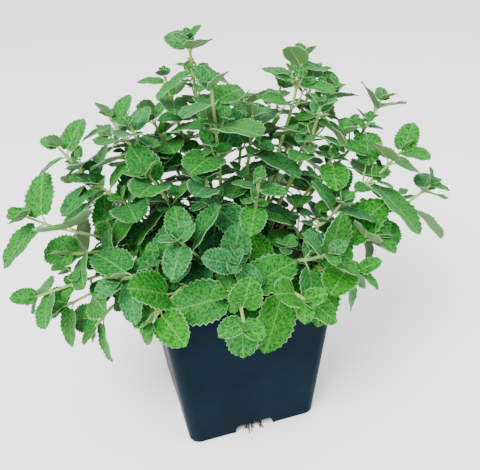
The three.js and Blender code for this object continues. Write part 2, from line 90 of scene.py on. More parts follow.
class Paint:
    """One output of a material's nodes. Arithmetic on it adds Math nodes."""

    def __init__(self, tree, socket=None):
        self.tree = tree
        self.socket = socket

    def node(self, kind, settings=None, inputs=None, output=0):
        """Adds a shader node: settings first, then the values or links of its sockets."""
        node = self.tree.nodes.new("ShaderNode" + kind)
        for name, value in (settings or {}).items():
            if name == "stops":
                stops = node.color_ramp.elements
                while len(stops) < len(value):
                    stops.new(1)
                for stop, (place, colour) in zip(stops, value):
                    stop.position = place
                    stop.color = (*colour, 1)
            else:
                setattr(node, name, value)
        for name, value in (inputs or {}).items():
            if isinstance(value, Paint):
                self.tree.links.new(value.socket, node.inputs[name])
            else:
                node.inputs[name].default_value = value
        return Paint(self.tree, node.outputs[output])

    def math(self, operation, *values):
        return self.node("Math", {"operation": operation}, dict(enumerate(values)))

    def __add__(self, other):
        return self.math("ADD", self, other)

    def __sub__(self, other):
        return self.math("SUBTRACT", self, other)

    def __rsub__(self, other):
        return self.math("SUBTRACT", other, self)

    def __mul__(self, other):
        return self.math("MULTIPLY", self, other)

    __radd__ = __add__
    __rmul__ = __mul__

    def fraction(self):
        return self.math("FRACT", self)

    def size(self):
        return self.math("ABSOLUTE", self)

    def step(self, low, high):
        """0 below low and 1 above high, with a smooth rise between them."""
        return self.node("MapRange", {"interpolation_type": "SMOOTHSTEP"},
                         {0: self, 1: low, 2: high})

    def mix(self, first, second):
        """A colour between two, by this value as the share of the second."""
        first, second = [c if isinstance(c, Paint) else (*c, 1) for c in (first, second)]
        return self.node("Mix", {"data_type": "RGBA"}, {0: self, 6: first, 7: second}, 2)

    def grain(self, scale, detail=2, stretch=None):
        """Noise over the piece, at a scale in cells a metre."""
        at = self.node("TexCoord", output=3)
        if stretch:
            at = self.node("Mapping", None, {"Vector": at, "Scale": stretch})
        return self.node("TexNoise", None, {"Vector": at, "Scale": scale, "Detail": detail})

    def carried(self, name):
        """A value that the mesh carries at its points."""
        return self.node("Attribute", {"attribute_name": name}, output=2)

    def relief(self, height, distance, strength=1):
        return self.node("Bump", None, {
            "Height": height, "Distance": distance, "Strength": strength})


def new_paint(name):
    material = bpy.data.materials.new(name)
    material.use_nodes = True
    return Paint(material.node_tree)


def finish_of(paint, base, roughness, normal=None, **even):
    """Completes a material: what varies over it, and what is the same all over."""
    shader = paint.tree.nodes["Principled BSDF"]
    for socket, value in (("Base Color", base), ("Roughness", roughness), ("Normal", normal)):
        if isinstance(value, Paint):
            paint.tree.links.new(value.socket, shader.inputs[socket])
        elif value is not None:
            shader.inputs[socket].default_value = value
    for socket, value in even.items():
        shader.inputs[socket.replace("_", " ")].default_value = value
    return next(m for m in bpy.data.materials if m.node_tree == paint.tree)


def only_verts(geometry):
    return [part for part in geometry if isinstance(part, bmesh.types.BMVert)]


def only_edges(geometry):
    return [part for part in geometry if isinstance(part, bmesh.types.BMEdge)]


def to_object(name, bm, finishes=()):
    """An object from a mesh in millimetres, its faces shaded smooth but for sharp edges."""
    bmesh.ops.scale(bm, vec=(MM, MM, MM), verts=bm.verts)
    mesh = bpy.data.meshes.new(name)
    bm.to_mesh(mesh)
    bm.free()
    mesh.shade_smooth()
    mesh.set_sharp_from_angle(angle=SHARP)
    for finish in finishes:
        mesh.materials.append(finish)
    piece = bpy.data.objects.new(name, mesh)
    bpy.context.scene.collection.objects.link(piece)
    return piece


def pot_half(z):
    """The pot's outside half width at a height."""
    return (POT_BASE + (POT_TOP - POT_BASE) * z / POT_HEIGHT) / 2


def square_body(levels, segments):
    """A body with a rounded square outline, drawn up through (height, half width) levels."""
    bm = bmesh.new()
    plate = bmesh.ops.create_grid(bm, x_segments=1, y_segments=1, size=1)["verts"]
    bmesh.ops.bevel(bm, geom=plate, offset=POT_CORNER * 2 / POT_TOP, offset_type="OFFSET",
                    segments=segments, profile=0.5, affect="VERTICES", material=-1)
    edge, (z, half) = bm.edges[:], levels[0]
    bmesh.ops.scale(bm, vec=(half, half, 1), verts=bm.verts)
    bmesh.ops.translate(bm, vec=(0, 0, z), verts=bm.verts)
    for next_z, next_half in levels[1:]:
        drawn = bmesh.ops.extrude_edge_only(bm, edges=edge)["geom"]
        edge, ring = only_edges(drawn), only_verts(drawn)
        edge = [e for e in edge if all(v in ring for v in e.verts)]
        bmesh.ops.scale(bm, vec=(next_half / half, next_half / half, 1), verts=ring)
        bmesh.ops.translate(bm, vec=(0, 0, next_z - z), verts=ring)
        z, half = next_z, next_half
    bmesh.ops.edgeloop_fill(bm, edges=edge)
    bmesh.ops.recalc_face_normals(bm, faces=bm.faces)
    return bm


def add_block(bm, low, high):
    block = bmesh.ops.create_cube(bm, size=1)["verts"]
    bmesh.ops.scale(bm, vec=[b - a for a, b in zip(low, high)], verts=block)
    bmesh.ops.translate(bm, vec=[(a + b) / 2 for a, b in zip(low, high)], verts=block)


def on_four_sides(bm):
    first = bm.verts[:] + bm.edges[:] + bm.faces[:]
    for turn in (90, 180, 270):
        copy = only_verts(bmesh.ops.duplicate(bm, geom=first)["geom"])
        bmesh.ops.rotate(bm, verts=copy, matrix=Matrix.Rotation(math.radians(turn), 3, "Z"))


def carve(piece, operation, bm):
    """Joins a tool shape to a piece, or cuts it away."""
    tool = to_object("tool", bm)
    step = piece.modifiers.new("carve", "BOOLEAN")
    step.operation, step.object, step.solver = operation, tool, "EXACT"
    shown = piece.evaluated_get(bpy.context.evaluated_depsgraph_get())
    carved = bpy.data.meshes.new_from_object(shown)
    piece.modifiers.clear()
    piece.data = carved
    bpy.data.objects.remove(tool)


top = pot_half(POT_HEIGHT)
lip = top + LIP_WIDTH
under_lip = POT_HEIGHT - LIP_HEIGHT
bm = square_body([
    (0, pot_half(0) - FOOT_ROUND), (FOOT_BEND[0], pot_half(0) - FOOT_BEND[1]),
    (FOOT_ROUND, pot_half(FOOT_ROUND)), (under_lip - LIP_STEP[0], pot_half(under_lip)),
    (under_lip, pot_half(under_lip) + LIP_STEP[1]), (under_lip + LIP_STEP[2], lip),
    (POT_HEIGHT - RIM_ROUND, lip), (POT_HEIGHT - RIM_BEND, lip - RIM_BEND),
    (POT_HEIGHT, lip - RIM_ROUND), (POT_HEIGHT, top - POT_WALL + RIM_INNER),
    (POT_HEIGHT - RIM_INNER, top - POT_WALL),
    (POT_FLOOR, pot_half(POT_FLOOR) - POT_WALL)], CORNER_SEGMENTS)
pot = to_object("nursery_pot", bm)

bm = bmesh.new()
back = pot_half(0) - ARCH_DEPTH
add_block(bm, (-ARCH_WIDTH / 2 - POT_WALL, HOUSING_INSET - pot_half(0), 0),
          (ARCH_WIDTH / 2 + POT_WALL, POT_WALL - back, ARCH_HEIGHT + POT_WALL))
on_four_sides(bm)
carve(pot, "UNION", bm)

bm = bmesh.new()
add_block(bm, (-ARCH_WIDTH / 2, -pot_half(0) - OVERCUT, -OVERCUT),
          (ARCH_WIDTH / 2, -back, ARCH_HEIGHT))
shoulders = [e for e in bm.edges
             if abs(e.verts[0].co.y - e.verts[1].co.y) > 1 and e.verts[0].co.z > 0]
bmesh.ops.bevel(bm, geom=shoulders, offset=ARCH_CORNER, segments=SHOULDER_SEGMENTS,
                profile=0.5, affect="EDGES", material=-1)
on_four_sides(bm)
carve(pot, "DIFFERENCE", bm)

bm = bmesh.new()
add_block(bm, (-DRAIN_WIDTH / 2, -back - OVERCUT, DRAIN_TOP - DRAIN_HEIGHT),
          (DRAIN_WIDTH / 2, -back + POT_WALL + OVERCUT, DRAIN_TOP))
on_four_sides(bm)
carve(pot, "DIFFERENCE", bm)

paint = new_paint("moulded polypropylene")
cloud = paint.grain(22, 3)
streak = paint.grain(60, 3, stretch=(1, 1, 0.12))
dust = paint.grain(900, 2).step(0.62, 0.72) * paint.grain(30, 2).step(0.5, 0.7)
colour = cloud.step(0.3, 0.75).mix((0.0002, 0.0052, 0.0115), (0.0006, 0.0085, 0.0165))
colour = (dust * 0.12).mix(colour, (0.1, 0.1, 0.09))
peel = paint.grain(700, 2) * 0.25 + paint.grain(35, 1) + streak * 0.5
finish = finish_of(paint, colour, 0.34 + streak * 0.16 + dust * 0.3,
                   paint.relief(peel, 0.0006, 0.35), Specular_IOR_Level=0.03)
pot.data.materials.clear()
pot.data.materials.append(finish)
pot.data.shade_smooth()
pot.data.set_sharp_from_angle(angle=SHARP)
even = pot.modifiers.new("even shading", "WEIGHTED_NORMAL")
even.keep_sharp = True
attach(pot, "root")
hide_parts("pot")


# --- Potting mix -----------------------------------------------------------------------
# Damp peat with bark, filled to a finger's width under the rim. Loose crumbs, tan bark
# fibres and white perlite grains lie on its top, half sunk in it.
SOIL_TOP = 108
SOIL_RELIEF = 1.4
SOIL_WAVE = (0.11, 0.13, 1)
SOIL_GAP = 0.3
SOIL_CELLS = 72
CLOD_SCALE = 0.14
CLOD_SLICE = 3.1
CLOD_HEIGHT = 0.9
CRUMBS = 700
FIBRES = 150
PERLITE = 130
CRUMB_SEED = 11
FIBRE_SEED = 12
PERLITE_SEED = 13
# How far loose bits keep from the wall, how rough they are, and their turn and tip.
BIT_INSET = 3
BIT_ROUGHNESS = 0.22
BIT_TURN = 6.3
BIT_TIP = 0.4


def soil_height(x, y):
    """The soil's top: slow waves, with clods on them."""
    wave = math.sin(x * SOIL_WAVE[0] + SOIL_WAVE[2]) * math.cos(y * SOIL_WAVE[1])
    clods = noise.fractal((x * CLOD_SCALE, y * CLOD_SCALE, CLOD_SLICE), 1, 2, 4)
    return SOIL_TOP + SOIL_RELIEF * wave + CLOD_HEIGHT * clods


inside = pot_half(SOIL_TOP) - POT_WALL - SOIL_GAP
corner = POT_CORNER - POT_WALL - SOIL_GAP
bm = bmesh.new()
bmesh.ops.create_grid(bm, x_segments=SOIL_CELLS, y_segments=SOIL_CELLS, size=inside)
for v in bm.verts:
    x, y = v.co.x, v.co.y
    over_x, over_y = abs(x) - (inside - corner), abs(y) - (inside - corner)
    if over_x > 0 and over_y > 0:
        shrink = min(1, corner / math.hypot(over_x, over_y) * max(over_x, over_y) / corner)
        x = math.copysign(inside - corner + over_x * shrink, x)
        y = math.copysign(inside - corner + over_y * shrink, y)
    v.co = (x, y, soil_height(x, y))
walls = [e for e in bm.edges if e.is_boundary]
drawn = bmesh.ops.extrude_edge_only(bm, edges=walls)["geom"]
floor_z = POT_FLOOR + SOIL_GAP
floor_share = (pot_half(floor_z) - POT_WALL - SOIL_GAP) / inside
housing = ARCH_HEIGHT + POT_WALL + SOIL_GAP
for v in only_verts(drawn):
    v.co = (v.co.x * floor_share, v.co.y * floor_share, housing)
bmesh.ops.edgeloop_fill(bm, edges=[
    e for e in only_edges(drawn) if e.verts[0].co.z == housing == e.verts[1].co.z])
bmesh.ops.recalc_face_normals(bm, faces=bm.faces)

paint = new_paint("damp potting mix")
lump = paint.grain(260, 4)
fleck = paint.grain(1400, 2).step(0.64, 0.72)
colour = lump.step(0.3, 0.72).mix((0.006, 0.0042, 0.0036), (0.038, 0.024, 0.016))
colour = (fleck * 0.5).mix(colour, (0.13, 0.085, 0.05))
soil_finish = finish_of(paint, colour, 0.95 - 0.25 * paint.grain(120, 2).step(0.5, 0.75),
                        paint.relief(lump + paint.grain(1500, 2) * 0.4, 0.0016))
soil = to_object("potting_mix", bm, [soil_finish])
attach(soil, "root")
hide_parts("soil")


def template(create, **how):
    """A mesh to stamp many times, made by one of the mesh operators."""
    bm = bmesh.new()
    create(bm, **how)
    mesh = bpy.data.meshes.new("template")
    bm.to_mesh(mesh)
    bm.free()
    return mesh


def stamp(bm, mesh):
    """Adds a copy of a template, and gives its points."""
    before = len(bm.verts)
    bm.from_mesh(mesh)
    return bm.verts[before:]


def scatter(name, finish, count, seed, fineness, shape, sizes, sink):
    """Loose bits lying on the soil, each a roughened ball squeezed to its own shape."""
    draws = np.random.default_rng(seed)
    ball = template(bmesh.ops.create_icosphere, subdivisions=fineness, radius=0.5)
    form = np.array([v.co for v in ball.vertices])
    bm = bmesh.new()
    for _ in range(count):
        x, y = draws.uniform(-1, 1, 2) * (inside - BIT_INSET)
        size, turn = draws.uniform(*sizes), draws.uniform(0, BIT_TURN)
        tip = draws.uniform(-BIT_TIP, BIT_TIP)
        uneven = 1 + BIT_ROUGHNESS * draws.uniform(-1, 1, (len(form), 1))
        rough = form * uneven * shape * size
        facing = Matrix.Rotation(turn, 3, "Z") @ Matrix.Rotation(tip, 3, "Y")
        height = soil_height(x, y) + size * shape[2] * (0.5 - sink)
        for v, place in zip(stamp(bm, ball), rough @ np.array(facing).T + (x, y, height)):
            v.co = place
    piece = to_object(name, bm, [finish])
    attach(piece, "root")


scatter("soil_crumbs", soil_finish, CRUMBS, CRUMB_SEED, 1, (1, 0.8, 0.7), (1, 3.4), 0.3)

paint = new_paint("bark fibre")
colour = paint.grain(240, 3, stretch=(1, 1, 3)).step(0.3, 0.7).mix((0.05, 0.026, 0.013),
                                                                  (0.3, 0.19, 0.1))
fibre_finish = finish_of(paint, colour, 0.85, paint.relief(paint.grain(1600, 2), 0.0004))
scatter("bark_fibres", fibre_finish, FIBRES, FIBRE_SEED, 1, (3.2, 0.5, 0.4), (1.2, 3), 0.15)

paint = new_paint("perlite")
colour = paint.grain(600, 3).step(0.3, 0.7).mix((0.5, 0.47, 0.42), (0.85, 0.83, 0.79))
perlite_finish = finish_of(paint, colour, 0.9, paint.relief(paint.grain(2200, 2), 0.0004))
scatter("perlite_grains", perlite_finish, PERLITE, PERLITE_SEED, 2, (1, 0.85, 0.8), (1.3, 3.2),
        0.25)


# --- Stems and leaves ------------------------------------------------------------------
# Soft herb stems, square in section and downy, with crinkled leaves in crossed pairs:
# pale young ones at the tips, large stalked ones below, and small ones in their axils.
ROOT_DEPTH = 8
STEM_SIDE = 2.2
UPRIGHT_STEPS = 5
ARCHED_STEPS = 6
ARCHED_RISE = 45
CHORD_POINTS = 12
ROOT_SHARE = 0.08
BASE_RISE = 2
HANDLE_SHARE = 0.36
HANDLE_LEAST = 24
BASE_SHARE = 0.36
BASE_LIMIT = 45
BASE_SPACING = 7
SPREAD_ROUNDS = 60
STEM_APART = 3.74
STEM_FREE = 6
# Each row is a stem's tip (x, y, z), the rise of its end, the size of its leaves, the turn
# of its first pair, and the tone of its green, from -1, silvery blue, to 1, yellow.
STEMS = [
    (-8, 32, 256, 85, 0.9, 0, 0.0), (-5, -5, 236, 85, 1.15, 0, -0.1),
    (-22, 47, 232, 75, 0.75, 45, 0.0), (-35, 44, 210, 60, 0.95, 60, 0.1),
    (-61, 39, 213, 60, 0.95, 30, -0.1), (-52, 10, 216, 75, 0.9, 75, -0.4),
    (-95, 34, 200, 65, 0.9, 45, 0.1), (-122, 18, 165, 40, 1.4, 30, 0.0),
    (-101, 4, 141, 5, 1.15, 60, 0.3), (-124, -11, 125, -5, 1.1, 90, 0.1),
    (-112, -9, 111, -30, 1.05, 30, 0.2), (-75, -42, 146, 25, 1.15, 60, -0.5),
    (-63, -62, 127, -10, 1.1, 90, 0.6), (-94, -24, 103, -50, 1, 45, 0.3),
    (-16, -87, 133, 0, 1.15, 0, 0.4), (19, -88, 139, 10, 1.05, 45, 0.9),
    (63, -66, 133, 20, 1.1, 60, 0.9), (84, -50, 144, 30, 1.2, 45, 0.6),
    (110, 5, 210, 70, 0.9, 0, 0.1), (110, -26, 187, 60, 1.35, 30, 0.5),
    (130, -32, 162, 60, 0.95, 75, 0.0), (61, 19, 240, 80, 0.8, 0, 0.0),
    (80, 40, 224, 65, 0.8, 45, 0.0), (86, 27, 213, 70, 0.8, 90, -0.1),
    (54, 41, 216, 80, 0.85, 45, 0.1), (60, -12, 219, 85, 0.85, 60, -0.2),
    (76, -12, 198, 75, 0.85, 0, 0.3), (22, 4, 213, 85, 1.1, 30, -0.2),
    (-16, -21, 189, 80, 0.95, 0, -0.6), (12, -35, 187, 85, 0.7, 45, -0.1),
    (63, -40, 166, 70, 0.95, 0, -0.7), (-12, -61, 153, 60, 0.8, 60, -0.9),
    (-40, -46, 167, 60, 0.95, 30, -0.6), (-47, -8, 191, 65, 1.2, 60, 0.3),
    (-76, 14, 180, 45, 1, 0, 0.1), (42, -70, 153, 45, 0.9, 30, -0.2),
    (-60, 70, 188, 50, 1, 45, 0.1), (-10, 92, 190, 55, 1, 0, 0.0),
    (42, 85, 196, 55, 1, 60, 0.1), (85, 60, 172, 40, 1, 30, 0.2),
    (-84, 60, 149, 30, 1, 60, 0.1)]
# Leaf pairs from the tip down: distance below it, blade length, stalk length and lift.
PAIRS = [(0.5, 13, 0.5, 50), (9, 22, 4, 25), (24, 29, 7, 0)]
SIZE_SPREAD = 0.12
TURN_SPREAD = 14
LIFT_SPREAD = 16
ROLL_SPREAD = 0.4
LEAF_DROOP = 0.12
STALK_LIFT = 22
LIGHT_UP = 0.8
LIGHT_ALONG = 0.6
BLADE_HALF_WIDTH = 0.42
BLADE_FOLD = 0.2
BLADE_CURL = 0.13
OUTLINE_SKEW = 0.66
OUTLINE_ROUND = 0.62
ROOT_OUT = 0.35
LOWEST_LEAF = 14
CLEARANCE = 2.3
POT_CLEARANCE = 1.6
BLADE_REACH = 0.62
BLADE_STEPS = 6
STALK_MIDDLE = 0.65
BENDS = [
    (0, 0, 1), (18, 0, 1), (-18, 0, 1), (0, 18, 1), (0, -18, 1), (22, 20, 1), (-22, 20, 1),
    (24, -16, 0.9), (-24, -16, 0.9), (0, 34, 0.9), (40, 10, 0.85), (-40, 10, 0.85),
    (0, 0, 0.75), (20, 30, 0.75), (-20, 30, 0.75), (0, -30, 0.7), (30, 0, 0.6), (-30, 0, 0.6),
    (0, 45, 0.6)]
STEM_BENDS = [
    (0, 0), (7, 0), (-7, 0), (0, 7), (14, 0), (-14, 0), (7, 7), (-7, 7), (0, 14), (14, 14),
    (-14, 14), (0, 21), (21, 21), (-21, 21)]
UP = np.array((0.0, 0.0, 1.0))
SEED_STEM, SEED_PAIR, SEED_SIDE = 64, 16, 8
SEED_FACTOR = 2654435761
DRAW_FACTOR = 1664525
DRAW_STEP = 1013904223
DRAW_MODULUS = 2 ** 32


def seeded(stem, pair, side, use):
    """A draw between -1 and 1: the same for the same stem, pair, side and use."""
    place = stem * SEED_STEM + pair * SEED_PAIR + side * SEED_SIDE + use + 1
    seed = place * SEED_FACTOR % DRAW_MODULUS
    return (seed * DRAW_FACTOR + DRAW_STEP) % DRAW_MODULUS / DRAW_MODULUS * 2 - 1


def unit(vector):
    return vector / np.linalg.norm(vector)


def spread_bases():
    """Stems leave the soil under their tips, drawn in and spread apart."""
    bases = [np.clip(np.array(row[:2]) * BASE_SHARE, -BASE_LIMIT, BASE_LIMIT) for row in STEMS]
    for _ in range(SPREAD_ROUNDS):
        for i in range(len(bases)):
            for j in range(i + 1, len(bases)):
                way = bases[j] - bases[i]
                apart = math.sqrt(way @ way)
                if apart < BASE_SPACING:
                    push = way * ((BASE_SPACING - apart) / 2 / apart)
                    bases[i] = np.clip(bases[i] - push, -BASE_LIMIT, BASE_LIMIT)
                    bases[j] = np.clip(bases[j] + push, -BASE_LIMIT, BASE_LIMIT)
    return bases


def stem_rings(row, base_xy, across, raised):
    """The points where a stem bends, from its root up to its tip."""
    angle = math.radians(row[3])
    outward = unit(np.array((row[0] - base_xy[0], row[1] - base_xy[1], 0.0)))
    aside = np.array((-outward[1], outward[0], 0))
    base = np.array((*base_xy, SOIL_TOP + BASE_RISE))
    tip = np.array(row[:3], float)
    handle = np.linalg.norm(tip - base) * HANDLE_SHARE
    heading = outward * math.cos(angle) + UP * math.sin(angle)
    first = base + UP * (max(handle, HANDLE_LEAST) + raised) + aside * across
    second = tip - heading * handle + aside * across + UP * raised
    steps = ARCHED_STEPS if row[3] < ARCHED_RISE else UPRIGHT_STEPS
    rings = []
    for share in np.arange(steps + 1) / steps:
        if share < ROOT_SHARE:
            buried = (ROOT_DEPTH + BASE_RISE) * (1 - share / ROOT_SHARE)
            rings.append(base - UP * buried)
            continue
        t = (share - ROOT_SHARE) / (1 - ROOT_SHARE)
        s = 1 - t
        rings.append(base * s ** 3 + first * 3 * s * s * t + second * 3 * s * t * t
                     + tip * t ** 3)
    return np.array(rings)


def trace_down(rings):
    """Close points along the chords between rings, from the tip down."""
    points = [rings[-1]]
    for upper, lower in zip(rings[:0:-1], rings[-2::-1]):
        points += [upper + (lower - upper) * k / CHORD_POINTS for k in
                   range(1, CHORD_POINTS + 1)]
    return np.array(points)


def walk_down(trace, below):
    """The point and upward direction of a stem at a distance below its tip."""
    steps = np.linalg.norm(trace[:-1] - trace[1:], axis=1)
    reached = np.cumsum(steps)
    if below > reached[-1]:
        return None, None
    i = int(np.searchsorted(reached, below))
    left = below - reached[i] + steps[i]
    return trace[i] + (trace[i + 1] - trace[i]) * left / steps[i], unit(trace[i] - trace[i + 1])


def pot_blocks(points, margin):
    """Which points touch the pot or the soil."""
    x, y, z = points.T
    reach = np.maximum(abs(x), abs(y))
    half = pot_half(np.maximum(z, 0))
    near = (z <= POT_HEIGHT + margin) & (reach <= half + LIP_WIDTH + margin)
    return near & ((reach > half - POT_WALL - margin) | (z < SOIL_TOP + SOIL_RELIEF + margin))


def grow_stems():
    stems = []
    for index, (row, base) in enumerate(zip(STEMS, spread_bases())):
        best = None
        for across, raised in STEM_BENDS:
            rings = stem_rings(row, base, across, raised)
            trace = trace_down(rings)
            above = trace[trace[:, 2] > SOIL_TOP + STEM_FREE]
            crossings = pot_blocks(above, STEM_SIDE / 2 + SOIL_GAP).sum()
            for other in stems:
                gaps = np.linalg.norm(above[:, None] - other.above[None], axis=2)
                crossings += (gaps.min(axis=1) < STEM_APART).sum()
            if best is None or crossings < best.crossings:
                best = SimpleNamespace(index=index, row=row, rings=rings, trace=trace,
                                       above=above, crossings=crossings)
            if crossings == 0:
                break
        stems.append(best)
    return stems


def blade_outline(along):
    """Half width of a blade, as a share of the greatest, along its length from 0 to 1."""
    return np.sin(np.pi * np.clip(along, 0, 1) ** OUTLINE_SKEW) ** OUTLINE_ROUND


def blade_height(leaf, along, across):
    return BLADE_FOLD * abs(across) - BLADE_CURL * along * along * leaf.length


def on_blade(leaf, along, across, height):
    """Points of a blade from shares of its length, and millimetres across and above it."""
    return (leaf.origin + np.multiply.outer(along * leaf.length, leaf.axis)
            + np.multiply.outer(across, leaf.side) + np.multiply.outer(height, leaf.normal))


def ruled_plan(stem, pair, place, side):
    """Where the rule puts a leaf of a pair on its stem, its sizes and its directions."""
    below, length, stalk, lift = place
    size = stem.row[4]
    drawn = size * (1 + SIZE_SPREAD * seeded(stem.index, pair, side, 0))
    turn = TURN_SPREAD * seeded(stem.index, pair, side, 1)
    return (pair, below * size, stalk * drawn, length * drawn,
            stem.row[5] + 90 * pair + 180 * side + turn,
            lift + LIFT_SPREAD * seeded(stem.index, pair, side, 2),
            ROLL_SPREAD * seeded(stem.index, pair, side, 3))


def grow_leaf(stem, plan, bend):
    """A leaf as planned on a stem, turned, tipped and sized by a bend."""
    pair, below, full_stalk, full_length, full_turn, rise, roll = plan
    turn, tip, size = bend
    point, heading = walk_down(stem.trace, below)
    level = unit(np.cross(UP, heading))
    around = math.radians(full_turn + turn)
    radial = level * math.cos(around) + np.cross(heading, level) * math.sin(around)
    lift = math.radians(rise + tip)
    axis = unit(radial * math.cos(lift) + heading * math.sin(lift) - UP * LEAF_DROOP)
    stalk_lift = lift + math.radians(STALK_LIFT)
    stalk = radial * math.cos(stalk_lift) + heading * math.sin(stalk_lift)
    light = UP * LIGHT_UP + heading * LIGHT_ALONG
    flat = unit(light - axis * (light @ axis))
    normal = unit(flat + np.cross(flat, axis) * roll)
    length = full_length * size
    origin = point + stalk * (STEM_SIDE / 2 + full_stalk * size)
    return SimpleNamespace(
        stem=stem.index, pair=pair, root=point, origin=origin, axis=axis, normal=normal,
        stalk=stalk, length=length, side=np.cross(normal, axis), half=BLADE_HALF_WIDTH * length,
        middle=origin + axis * length / 2, radius=length * BLADE_REACH)


def leaf_points(leaf):
    """Points over a blade and its stalk, close enough to find what crosses them."""
    along = np.arange(BLADE_STEPS + 1) / BLADE_STEPS
    half = leaf.half * blade_outline(along)
    rows = [on_blade(leaf, along, half * share, blade_height(leaf, along, half * share))
            for share in (0, 1, -1)]
    return np.vstack([leaf.root + (leaf.origin - leaf.root) * STALK_MIDDLE, *rows])


def near_blade(points, leaf, clearance):
    offset = points - leaf.origin
    x, y = offset @ leaf.axis, offset @ leaf.side
    along = x / leaf.length
    gap = abs(offset @ leaf.normal - blade_height(leaf, along, y))
    return ((x >= -clearance) & (x <= leaf.length + clearance) & (gap < clearance)
            & (abs(y) <= leaf.half * blade_outline(along) + clearance)).any()


def leaf_crosses(leaf, canopy, clearance):
    """Whether a leaf comes too near the pot, another stem or another stem's leaf."""
    if pot_blocks(leaf.points, POT_CLEARANCE).any():
        return True
    apart = np.linalg.norm(canopy.middles - leaf.middle, axis=1)
    reached = (apart < canopy.radii + leaf.radius + clearance) & (canopy.owners != leaf.stem)
    for other in (canopy.leaves[i] for i in np.flatnonzero(reached)):
        if near_blade(leaf.points, other, clearance) or near_blade(
                other.points, leaf, clearance):
            return True
    others = canopy.stem_points[canopy.stem_owners != leaf.stem]
    close = others[np.linalg.norm(others - leaf.middle, axis=1) < leaf.radius + clearance]
    return (len(close) and near_blade(close, leaf, clearance)
            or (np.linalg.norm(others - leaf.points[0], axis=1) < clearance).any())


def keep_leaf(leaf, canopy):
    canopy.leaves.append(leaf)
    canopy.middles = np.vstack([canopy.middles, leaf.middle])
    canopy.radii = np.append(canopy.radii, leaf.radius)
    canopy.owners = np.append(canopy.owners, leaf.stem)


def grow_clear(stem, plan, canopy, clearance):
    """Grows a leaf with the first bend that is clear, if any is."""
    for bend in BENDS:
        leaf = grow_leaf(stem, plan, bend)
        leaf.points = leaf_points(leaf)
        if not leaf_crosses(leaf, canopy, clearance):
            keep_leaf(leaf, canopy)
            return


def grow_pairs(stems, canopy, pair, place, clearance):
    """Grows a pair of the rule at a place on every stem that is long enough."""
    for stem in stems:
        point = walk_down(stem.trace, place[0] * stem.row[4])[0]
        if point is None or (point[2] <= SOIL_TOP + LOWEST_LEAF and pot_half(POT_HEIGHT)
                             >= max(abs(point[0]), abs(point[1]))):
            continue
        for side in (0, 1):
            grow_clear(stem, ruled_plan(stem, pair, place, side), canopy, clearance)


stems = grow_stems()
canopy = SimpleNamespace(
    leaves=[], middles=np.empty((0, 3)), radii=np.empty(0), owners=np.empty(0, int),
    stem_points=np.vstack([stem.trace for stem in stems]),
    stem_owners=np.concatenate([[stem.index] * len(stem.trace) for stem in stems]))
for pair, place in enumerate(PAIRS):
    grow_pairs(stems, canopy, pair, place, CLEARANCE)

# The pairs that stand between and under those, and the short shoots in the axils.
LOWER_PAIRS = [(3, (40, 25, 8, -5)), (4, (57, 22, 8, -8)), (5, (74, 18, 6, -4))]
YOUNGEST = -1, (0, 7, 0.2, 66)
YOUNGEST_CLEARANCE = 0.6
SMALL_CLEARANCE = 1.1
SHOOTS = [(2, 24, 9), (3, 40, 12)]
SHOOT_SHARE = 0.8
SHOOT_POINTS = 7
SHOOT_SPREAD = 0.45
SHOOT_OUT = 0.62
SHOOT_RISE = 60
SHOOT_RADII = (0.75, 0.45)
SHOOT_PAIRS = [(0, (0.4, 8, 0.4, 40)), (1, (5, 10, 1.2, 15))]


def grow_shoots(stems):
    """Short side shoots, one over each large leaf, with small leaves of their own."""
    shoots = []
    for pair, below, reach in SHOOTS:
        for stem in stems:
            for side in (0, 1):
                point, heading = walk_down(stem.trace, below * stem.row[4])
                chosen = (seeded(stem.index, pair, side, 4) + 1) / 2 < SHOOT_SHARE
                if point is None or point[2] < SOIL_TOP + LOWEST_LEAF or not chosen:
                    continue
                level = unit(np.cross(UP, heading))
                around = math.radians(stem.row[5] + 90 * pair + 180 * side
                                      + TURN_SPREAD * seeded(stem.index, pair, side, 1))
                radial = level * math.cos(around) + np.cross(heading, level) * math.sin(around)
                size = reach * (1 + SHOOT_SPREAD * seeded(stem.index, pair, side, 5))
                steps = np.linspace(0, 1, SHOOT_POINTS)[:, None]
                way = point + radial * size * SHOOT_OUT * steps + (
                    heading * 0.5 + UP * 0.5) * size * (0.35 * steps + 0.65 * steps ** 2)
                row = (*way[-1], SHOOT_RISE, stem.row[4], 45 + stem.row[5] + 90 * pair, stem.row[6])
                shoots.append(SimpleNamespace(
                    index=stem.index, row=row, trace=way[::-1], rings=way))
    return shoots


for pair, place in LOWER_PAIRS:
    grow_pairs(stems, canopy, pair, place, SMALL_CLEARANCE)
grow_pairs(stems, canopy, *YOUNGEST, YOUNGEST_CLEARANCE)
shoots = grow_shoots(stems)
for pair, place in SHOOT_PAIRS:
    grow_pairs(shoots, canopy, pair, place, SMALL_CLEARANCE)

TEETH = 9
SMALL_LEAF = 13
SMALL_TEETH = 5
TOOTH_DEPTH = 0.11
TIP_FULLNESS = 0.66
TOOTH_LEAN = 0.12
TIP_WIDTH = 0.28
TIP_ROUND = 0.07
BOX_INSET = 0.4
BASE_WIDTH = 0.34
LOBE_DEPTH = 0.05
BLADE_THICKNESS = 0.34
FOLD_SOFTNESS = 0.05
WAVE_HEIGHT = 0.014
STALK_SIDES = 5
STEM_SIDES = 12
STEM_FULLNESS = 1.2
STEM_END = 0.75
CARRIED = ("along", "across", "margin", "tone", "age", "inner")
# Leaves deep in the plant get painted shade: strongest near the middle of the soil's top, fading
# out at these reaches across and up.
DEEP_SHADE_REACH = 90
DEEP_SHADE_RISE = 115
DEEP_SHADE_EDGE = 1.15
TONE_SPREAD = 0.45
# Past this share of the half width a point is on the edge. Teeth stop leaning at TIP_SHARE of
# the length, and the margin's wave turns through WAVE_ANGLE radians along it.
EDGE_SHARE = 0.9
TIP_SHARE = 0.97
TIP_POWER = 12
LOBE_REACH = 0.1
WAVE_ANGLE = 14
